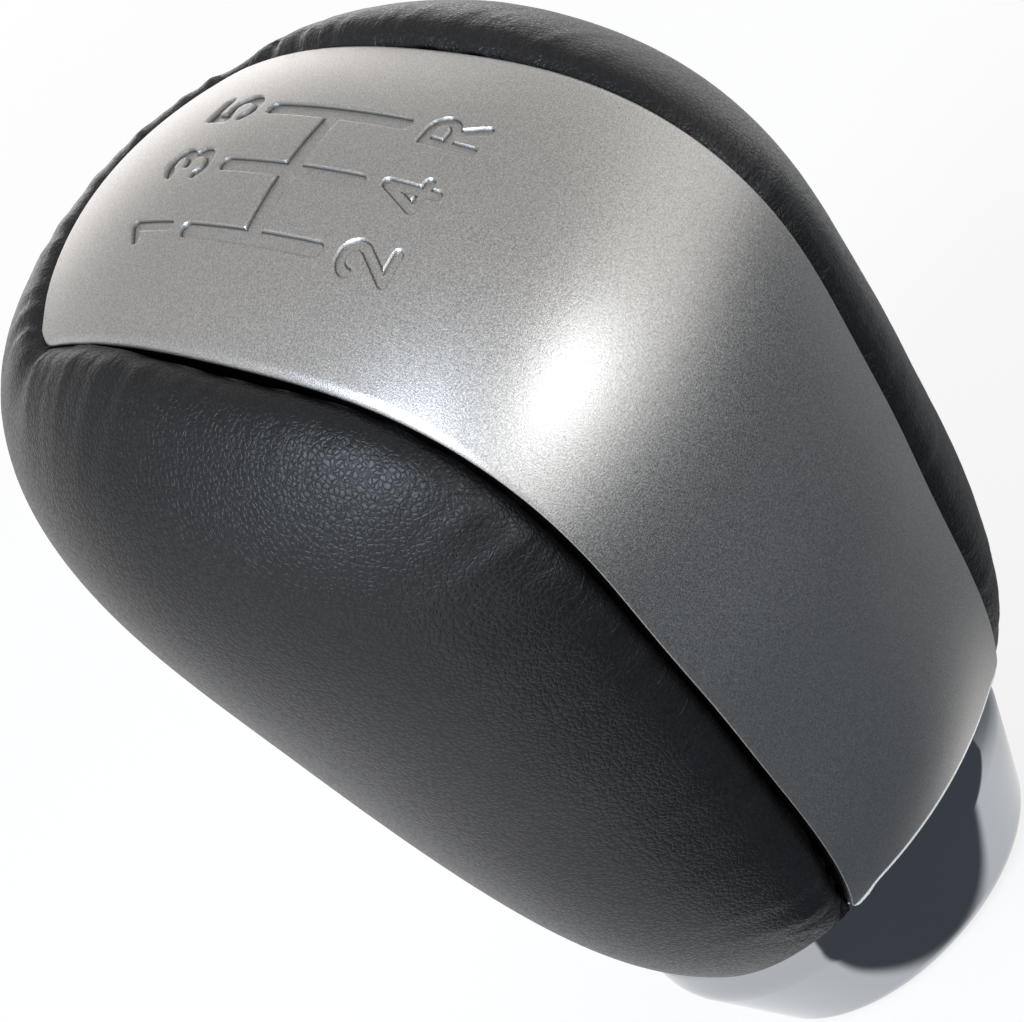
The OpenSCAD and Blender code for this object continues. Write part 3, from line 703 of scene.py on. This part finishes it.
def leatherMaterial():
    # drum-dyed black cowhide with a soft pebble grain: fine crests catch the light, creases stay matt
    mat, tree, shader = newMaterial("pebbledLeather")
    coord = addNode(tree, "TexCoord").outputs["Object"]
    # millimetres: grain widths, the warp that makes cells uneven, and how deep grain and folds are
    pebble, fineGrain, tone = 0.39, 0.14, 5.0
    warpLength, warpPush, deep, foldDeep = 0.6, 0.4, 0.042, 0.12
    warp = addNode(tree, "TexNoise", inputs={"Vector": coord, "Scale": 1000 / warpLength, "Detail": 2.0})
    push = addNode(tree, "VectorMath", {"operation": "MULTIPLY_ADD"},
                   {0: warp.outputs["Color"], 1: (warpPush * mm, warpPush * mm, warpPush * mm), 2: coord})
    cells = addNode(tree, "TexVoronoi", {"feature": "F1"},
                    {"Vector": push.outputs[0], "Scale": 1000 / pebble})
    lines = addNode(tree, "TexVoronoi", {"feature": "DISTANCE_TO_EDGE"},
                    {"Vector": push.outputs[0], "Scale": 1000 / pebble})
    pores = addNode(tree, "TexNoise", inputs={"Vector": coord, "Scale": 1000 / fineGrain, "Detail": 3.0})
    uneven = addNode(tree, "TexNoise", inputs={"Vector": coord, "Scale": 1000 / tone, "Detail": 2.0})
    dome = remap(tree, cells.outputs["Distance"], (0.05, 0.8), (0.22, 0.0))
    crease = remap(tree, lines.outputs["Distance"], (0.0, 0.2))
    height = addNode(tree, "Math", {"operation": "MULTIPLY_ADD"}, {0: crease, 1: 0.4, 2: dome})
    height = addNode(tree, "Math", {"operation": "MULTIPLY_ADD"},
                     {0: pores.outputs["Fac"], 1: 0.2, 2: height.outputs[0]})
    # drawn wrinkles run across the edge beside the plate
    along = addNode(tree, "Attribute", {"attribute_name": "edgeAlong"})
    away = addNode(tree, "Attribute", {"attribute_name": "edgeDistance"})
    place = addNode(tree, "CombineXYZ", inputs={"X": along.outputs["Fac"], "Y": away.outputs["Fac"]})
    squeeze = addNode(tree, "VectorMath", {"operation": "MULTIPLY"},
                      {0: place.outputs[0], 1: (1.5, 0.2, 1.0)})
    drawn = addNode(tree, "TexNoise", inputs={"Vector": squeeze.outputs[0], "Scale": 1.0, "Detail": 3.0,
                                              "Distortion": 0.5})
    reach = remap(tree, away.outputs["Fac"], (0.5, 5.5), (1.0, 0.0))
    drawn = addNode(tree, "Math", {"operation": "MULTIPLY"}, {0: drawn.outputs["Fac"], 1: reach})
    grain = addNode(tree, "Bump", inputs={"Height": height.outputs[0], "Strength": 1.0,
                                          "Distance": deep * mm})
    folds = addNode(tree, "Bump", inputs={"Height": drawn.outputs[0], "Strength": 1.0,
                                          "Distance": foldDeep * mm, "Normal": grain.outputs[0]})
    colour = addNode(tree, "MixRGB", {"blend_type": "MIX"},
                     {"Fac": uneven.outputs["Fac"], "Color1": srgb("#111112"), "Color2": srgb("#19191a")})
    # painted shade: the creases between the pebbles are coloured darker
    colour = addNode(tree, "MixRGB", {"blend_type": "MIX"},
                     {"Fac": crease, "Color1": srgb("#0c0c0d"), "Color2": colour.outputs[0]})
    rough = remap(tree, height.outputs[0], (0.1, 0.65), (0.46, 0.33), "LINEAR")
    tree.links.new(colour.outputs[0], shader.inputs["Base Color"])
    tree.links.new(rough, shader.inputs["Roughness"])
    tree.links.new(folds.outputs[0], shader.inputs["Normal"])
    shader.inputs["Specular IOR Level"].default_value = 0.34
    return mat


def plateMaterial():
    # satin silver finish with a fine blasted grain that sparkles in the highlight; painted shade darkens the
    # feet of the groove walls
    mat, tree, shader = newMaterial("satinSilver")
    coord = addNode(tree, "TexCoord").outputs["Object"]
    speck = 0.11  # millimetres, coarser than the real grain so that it shows
    grain = addNode(tree, "TexNoise", inputs={"Vector": coord, "Scale": 1000 / speck, "Detail": 2.0,
                                              "Roughness": 0.7})
    tone = remap(tree, grain.outputs["Fac"], (0.3, 0.7), kind="LINEAR")
    face = addNode(tree, "MixRGB", inputs={"Fac": tone, "Color1": srgb("#a6a39f"),
                                           "Color2": srgb("#dddad6")})
    # painted shade at the foot of each groove's walls
    grooveShadeAt = addNode(tree, "Attribute", {"attribute_name": "grooveShade"})
    colour = addNode(tree, "MixRGB", inputs={"Fac": grooveShadeAt.outputs["Fac"], "Color1": face.outputs[0],
                                             "Color2": srgb("#4e4c4a")})
    rough = remap(tree, grain.outputs["Fac"], (0.3, 0.7), (0.34, 0.47), "LINEAR")
    bump = addNode(tree, "Bump", inputs={"Height": grain.outputs["Fac"], "Strength": 1.0,
                                         "Distance": 0.000016})
    # painted shade: side walls and back are black, so the gap beside the plate shows dark
    dark = addNode(tree, "Attribute", {"attribute_name": "paintedWallShade"})
    colour = addNode(tree, "MixRGB", inputs={"Fac": dark.outputs["Fac"], "Color1": colour.outputs[0],
                                             "Color2": srgb("#161617")})
    # painted highlight: the strip along the foot is pale and barely metallic, so it draws a thin light line
    paintedHighlight = addNode(tree, "Attribute", {"attribute_name": "paintedFootHighlight"})
    colour = addNode(tree, "MixRGB", inputs={"Fac": paintedHighlight.outputs["Fac"], "Color1": colour.outputs[0],
                                             "Color2": srgb("#e4e4e1")})
    metal = remap(tree, paintedHighlight.outputs["Fac"], out=(1.0, 0.15), kind="LINEAR")
    tree.links.new(colour.outputs[0], shader.inputs["Base Color"])
    tree.links.new(rough, shader.inputs["Roughness"])
    tree.links.new(bump.outputs[0], shader.inputs["Normal"])
    tree.links.new(metal, shader.inputs["Metallic"])
    return mat


def chromeMaterial():
    # bright chrome plate over a polished casting: mirror sharp, with faint polishing waves
    mat, tree, shader = newMaterial("brightChrome")
    coord = addNode(tree, "TexCoord").outputs["Object"]
    waves = addNode(tree, "TexNoise", inputs={"Vector": coord, "Scale": 1000 / 6, "Detail": 1.0})
    haze = addNode(tree, "TexNoise", inputs={"Vector": coord, "Scale": 1000 / 1.5, "Detail": 4.0})
    rough = remap(tree, haze.outputs["Fac"], out=(0.035, 0.09), kind="LINEAR")
    bump = addNode(tree, "Bump", inputs={"Height": waves.outputs["Fac"], "Strength": 0.2,
                                         "Distance": 0.00003})
    tree.links.new(rough, shader.inputs["Roughness"])
    tree.links.new(bump.outputs[0], shader.inputs["Normal"])
    shader.inputs["Metallic"].default_value = 1.0
    shader.inputs["Base Color"].default_value = srgb("#acafb3")
    return mat


def mouldedMaterial():
    # black glass-filled plastic, spark-eroded mould: even fine matt texture
    mat, tree, shader = newMaterial("mouldedPlastic")
    coord = addNode(tree, "TexCoord").outputs["Object"]
    grit = addNode(tree, "TexNoise", inputs={"Vector": coord, "Scale": 1000 / 0.15, "Detail": 3.0})
    rough = remap(tree, grit.outputs["Fac"], out=(0.5, 0.68), kind="LINEAR")
    bump = addNode(tree, "Bump", inputs={"Height": grit.outputs["Fac"], "Strength": 0.5, "Distance": 0.00003})
    tree.links.new(rough, shader.inputs["Roughness"])
    tree.links.new(bump.outputs[0], shader.inputs["Normal"])
    shader.inputs["Base Color"].default_value = srgb("#151516")
    return mat


def foamMaterial():
    # closed-cell polyethylene foam: pale cells, no gloss
    mat, tree, shader = newMaterial("paddingFoam")
    coord = addNode(tree, "TexCoord").outputs["Object"]
    cells = addNode(tree, "TexVoronoi", {"feature": "F1"}, {"Vector": coord, "Scale": 1000 / 0.5})
    colour = addNode(tree, "MixRGB", inputs={"Fac": cells.outputs["Distance"], "Color1": srgb("#7d786e"),
                                             "Color2": srgb("#5d594f")})
    bump = addNode(tree, "Bump", inputs={"Height": cells.outputs["Distance"], "Strength": 0.8,
                                         "Distance": 0.0001})
    tree.links.new(colour.outputs[0], shader.inputs["Base Color"])
    tree.links.new(bump.outputs[0], shader.inputs["Normal"])
    shader.inputs["Roughness"].default_value = 0.9
    return mat


def steelMaterial(name, colour, ring):
    # zinc-plated or spring steel, turned or rolled: fine marks ring mm apart and a soft gloss
    mat, tree, shader = newMaterial(name)
    coord = addNode(tree, "TexCoord").outputs["Object"]
    marks = addNode(tree, "TexNoise", inputs={"Vector": coord, "Scale": 1000 / ring, "Detail": 3.0})
    rough = remap(tree, marks.outputs["Fac"], out=(0.25, 0.42), kind="LINEAR")
    bump = addNode(tree, "Bump", inputs={"Height": marks.outputs["Fac"], "Strength": 0.3,
                                         "Distance": 0.00002})
    tree.links.new(rough, shader.inputs["Roughness"])
    tree.links.new(bump.outputs[0], shader.inputs["Normal"])
    shader.inputs["Metallic"].default_value = 1.0
    shader.inputs["Base Color"].default_value = srgb(colour)
    return mat


def paint(obj, mat):
    # one material for the whole piece
    obj.data.materials.clear()
    obj.data.materials.append(mat)


# Camera, floor and lights

view = dict(azimuth=-24.2, elevation=21.5, roll=-47.0, distance=274.99, right=-28.157, up=27.635,
            foot=1.0, pixelsPerMm=13.322, sensor=36.0, imageWidth=1024)
studio = dict(
    fill=0.8, overhead=0.5, horizon=(0.08, 0.62),
    floorHigh=-0.05, floorHalf=3000, floorGlow=0.8, cardHigh=0.3,
    # card that paints dark reflections into the metal parts
    card=dict(low=(-170, -130), high=(170, 60), corner=(-13.6, -7.6), slopes=(-0.4, 0.47), soft=1.2,
              sideFrom=8, sideTo=28, sideShare=0.82, frontFrom=12, frontTo=50, colour="#555b62"),
    lamps=dict(
        keyBox=dict(place=(-4, -520, 94), aim=(-4, -40, 60), size=(150, 150), glow=8.5, colour="#eef5fb"),
        leftBox=dict(place=(-452, -222, 415), aim=(0, 0, 50), size=(400, 300), glow=12.0, colour="#d3e2f6"),
        frontPanel=dict(place=(364, 581, 170), aim=(0, 0, 50), size=(460, 300), glow=1.4, colour="#fffafa"),
    ),
)


def viewAxes():
    # the picture's right and up, and the way back to the camera
    az, el, roll = (math.radians(view[k]) for k in ("azimuth", "elevation", "roll"))
    back = np.array([math.sin(az) * math.cos(el), -math.cos(az) * math.cos(el), math.sin(el)])
    level = np.array([math.cos(az), math.sin(az), 0])
    high = np.cross(back, level)
    right = math.cos(roll) * level + math.sin(roll) * high
    up = -math.sin(roll) * level + math.cos(roll) * high
    return right, up, back


def buildCamera():
    # stands off along the view's own axis and gives pixelsPerMm at the knob
    right, up, back = viewAxes()
    place = back * view["distance"] + right * view["right"] + up * view["up"] + np.array([0, 0, view["foot"]])
    data = bpy.data.cameras.new("camera")
    data.sensor_width = view["sensor"]
    data.lens = view["pixelsPerMm"] * view["distance"] / view["imageWidth"] * view["sensor"]
    data.clip_start, data.clip_end = 0.01, 20
    cam = bpy.data.objects.new("camera", data)
    bpy.context.scene.collection.objects.link(cam)
    rows = [[right[i], up[i], back[i], place[i] * mm] for i in range(3)]
    cam.matrix_world = Matrix(rows + [[0, 0, 0, 1]])
    bpy.context.scene.camera = cam


def addLamp(name, place, aim, size, glow, colour="#ffffff"):
    # soft box, place and size in millimetres; glow is its brightness, where 1 is white
    data = bpy.data.lights.new(name, "AREA")
    data.shape = "RECTANGLE"
    data.size, data.size_y = size[0] * mm, size[1] * mm
    data.energy = glow * math.pi * data.size * data.size_y
    data.color = srgb(colour)[:3]
    lamp = bpy.data.objects.new(name, data)
    bpy.context.scene.collection.objects.link(lamp)
    lamp.location = Vector(place) * mm
    lamp.rotation_euler = (Vector(aim) - Vector(place)).to_track_quat("-Z", "Y").to_euler()
    return lamp


def newTree(block):
    # an empty node tree
    block.use_nodes = True
    block.node_tree.nodes.clear()
    return block.node_tree


def seenDirectly(tree):
    # 1 for what the camera, a reflection or a clear material shows, 0 for light that falls on things
    path = addNode(tree, "LightPath")
    both = addNode(tree, "Math", {"operation": "ADD"},
                   {0: path.outputs["Is Camera Ray"], 1: path.outputs["Is Glossy Ray"]})
    return addNode(tree, "Math", {"operation": "ADD", "use_clamp": True},
                   {0: both.outputs[0], 1: path.outputs["Is Transmission Ray"]}).outputs[0]


def levelQuad(name, low, high, z):
    # flat rectangle that isn't part of the knob
    mesh = bpy.data.meshes.new(name)
    corners = [(low[0], low[1]), (high[0], low[1]), (high[0], high[1]), (low[0], high[1])]
    mesh.from_pydata([(x * mm, y * mm, z * mm) for x, y in corners], [], [(0, 1, 2, 3)])
    obj = bpy.data.objects.new(name, mesh)
    bpy.context.scene.collection.objects.link(obj)
    return obj


def buildStudio():
    # white world, pale floor, a card for reflections and the soft boxes
    world = bpy.data.worlds.new("studio")
    bpy.context.scene.world = world
    tree = newTree(world)
    out = addNode(tree, "OutputWorld")
    plain = addNode(tree, "Background", inputs={"Color": srgb("#fbf9f8"), "Strength": studio["fill"]})
    # white round the horizon, greyer overhead
    heading = addNode(tree, "SeparateXYZ", inputs={0: addNode(tree, "TexCoord").outputs["Generated"]})
    level = remap(tree, heading.outputs["Z"], studio["horizon"], (1.0, studio["overhead"]))
    white = addNode(tree, "Background", inputs={"Color": (1, 1, 1, 1), "Strength": level})
    mix = addNode(tree, "MixShader", inputs={0: seenDirectly(tree), 1: plain.outputs[0], 2: white.outputs[0]})
    tree.links.new(mix.outputs[0], out.inputs["Surface"])

    # just under the ring, and clear from below, so that the underside shows
    half = studio["floorHalf"]
    floor = levelQuad("floor", (-half, -half), (half, half), studio["floorHigh"])
    pale = bpy.data.materials.new("paleFloor")
    tree = newTree(pale)
    out = addNode(tree, "OutputMaterial")
    body = addNode(tree, "BsdfDiffuse", inputs={"Color": srgb("#eeeeee")})
    glow = addNode(tree, "Emission", inputs={"Color": (1, 1, 1, 1), "Strength": 1.0})
    share = addNode(tree, "Math", {"operation": "MULTIPLY"}, {0: seenDirectly(tree), 1: studio["floorGlow"]})
    mix = addNode(tree, "MixShader", inputs={0: share.outputs[0], 1: body.outputs[0], 2: glow.outputs[0]})
    below = addNode(tree, "NewGeometry").outputs["Backfacing"]
    mix = addNode(tree, "MixShader", inputs={0: below, 1: mix.outputs[0],
                                             2: addNode(tree, "BsdfTransparent").outputs[0]})
    tree.links.new(mix.outputs[0], out.inputs["Surface"])
    floor.data.materials.append(pale)

    # a dark card on the floor behind the knob, which only reflections show: it paints dark reflections into
    # the chrome and the plate
    c = studio["card"]
    card = levelQuad("darkCard", c["low"], c["high"], studio["cardHigh"])
    card.visible_camera = card.visible_diffuse = card.visible_shadow = False
    dark = bpy.data.materials.new("darkCard")
    tree = newTree(dark)
    out = addNode(tree, "OutputMaterial")
    coord = addNode(tree, "TexCoord").outputs["Object"]
    edges = []
    for slope in c["slopes"]:
        outward = unit(np.array([slope, -1.0, 0.0]))
        dot = addNode(tree, "VectorMath", {"operation": "DOT_PRODUCT"}, {0: coord, 1: tuple(outward)})
        edges.append(addNode(tree, "Math", {"operation": "SUBTRACT"},
                             {0: dot.outputs["Value"], 1: float(outward[:2] @ c["corner"]) * mm}).outputs[0])
    inside = addNode(tree, "Math", {"operation": "SMOOTH_MIN"}, {0: edges[0], 1: edges[1], 2: 0.002})
    covered = remap(tree, inside.outputs[0], (0.0, c["soft"] * mm))
    # to the right of the knob the card is only grey, and fades out towards the front
    at = addNode(tree, "SeparateXYZ", inputs={0: coord})
    side = remap(tree, at.outputs["X"], (c["sideFrom"] * mm, c["sideTo"] * mm), (0.0, c["sideShare"]))
    fade = remap(tree, at.outputs["Y"], (c["frontFrom"] * mm, c["frontTo"] * mm), (1.0, 0.0))
    grey = addNode(tree, "Math", {"operation": "MULTIPLY"}, {0: side, 1: fade})
    shown = addNode(tree, "Math", {"operation": "MAXIMUM"}, {0: covered, 1: grey.outputs[0]})
    clear = addNode(tree, "BsdfTransparent")
    shade = addNode(tree, "Emission", inputs={"Color": srgb(c["colour"]), "Strength": 1.0})
    mix = addNode(tree, "MixShader", inputs={0: shown.outputs[0], 1: clear.outputs[0], 2: shade.outputs[0]})
    tree.links.new(mix.outputs[0], out.inputs["Surface"])
    card.data.materials.append(dark)

    for name, lamp in studio["lamps"].items():
        addLamp(name, **lamp)
    bpy.context.scene.view_settings.view_transform = "Standard"


# Build

buildCamera()
buildStudio()
print("studio and camera ready")

cover = buildLeather()
paint(cover, leatherMaterial())
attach(cover, "root")
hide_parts("leather_cover")
print("leather cover", len(cover.data.polygons))

plate = buildPlate()
paint(plate, plateMaterial())
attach(plate, "root")
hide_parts("trim_plate")
print("centre plate", len(plate.data.polygons))

ring = buildCollar()
paint(ring, chromeMaterial())
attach(ring, "root")
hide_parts("collar")
print("collar", len(ring.data.polygons))

nut = buildInsert()
paint(nut, steelMaterial("zincSteel", "#b9b3a2", 0.4))
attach(nut, "root")
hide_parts("threaded_insert")
print("insert", len(nut.data.polygons))

plastic, foam = mouldedMaterial(), foamMaterial()
screwSteel = steelMaterial("screwSteel", "#9a9da1", 0.3)
springSteel = steelMaterial("springSteel", "#858a90", 0.5)
for name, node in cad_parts.items():
    if name.endswith("shell"):
        paint(node, plastic)
    elif name.endswith("foam"):
        paint(node, foam)
    elif name.startswith("shell_screw"):
        paint(node, screwSteel)
    elif name.startswith("plate_clip") or name == "snap_ring":
        paint(node, springSteel)
print("carried-over pieces painted")
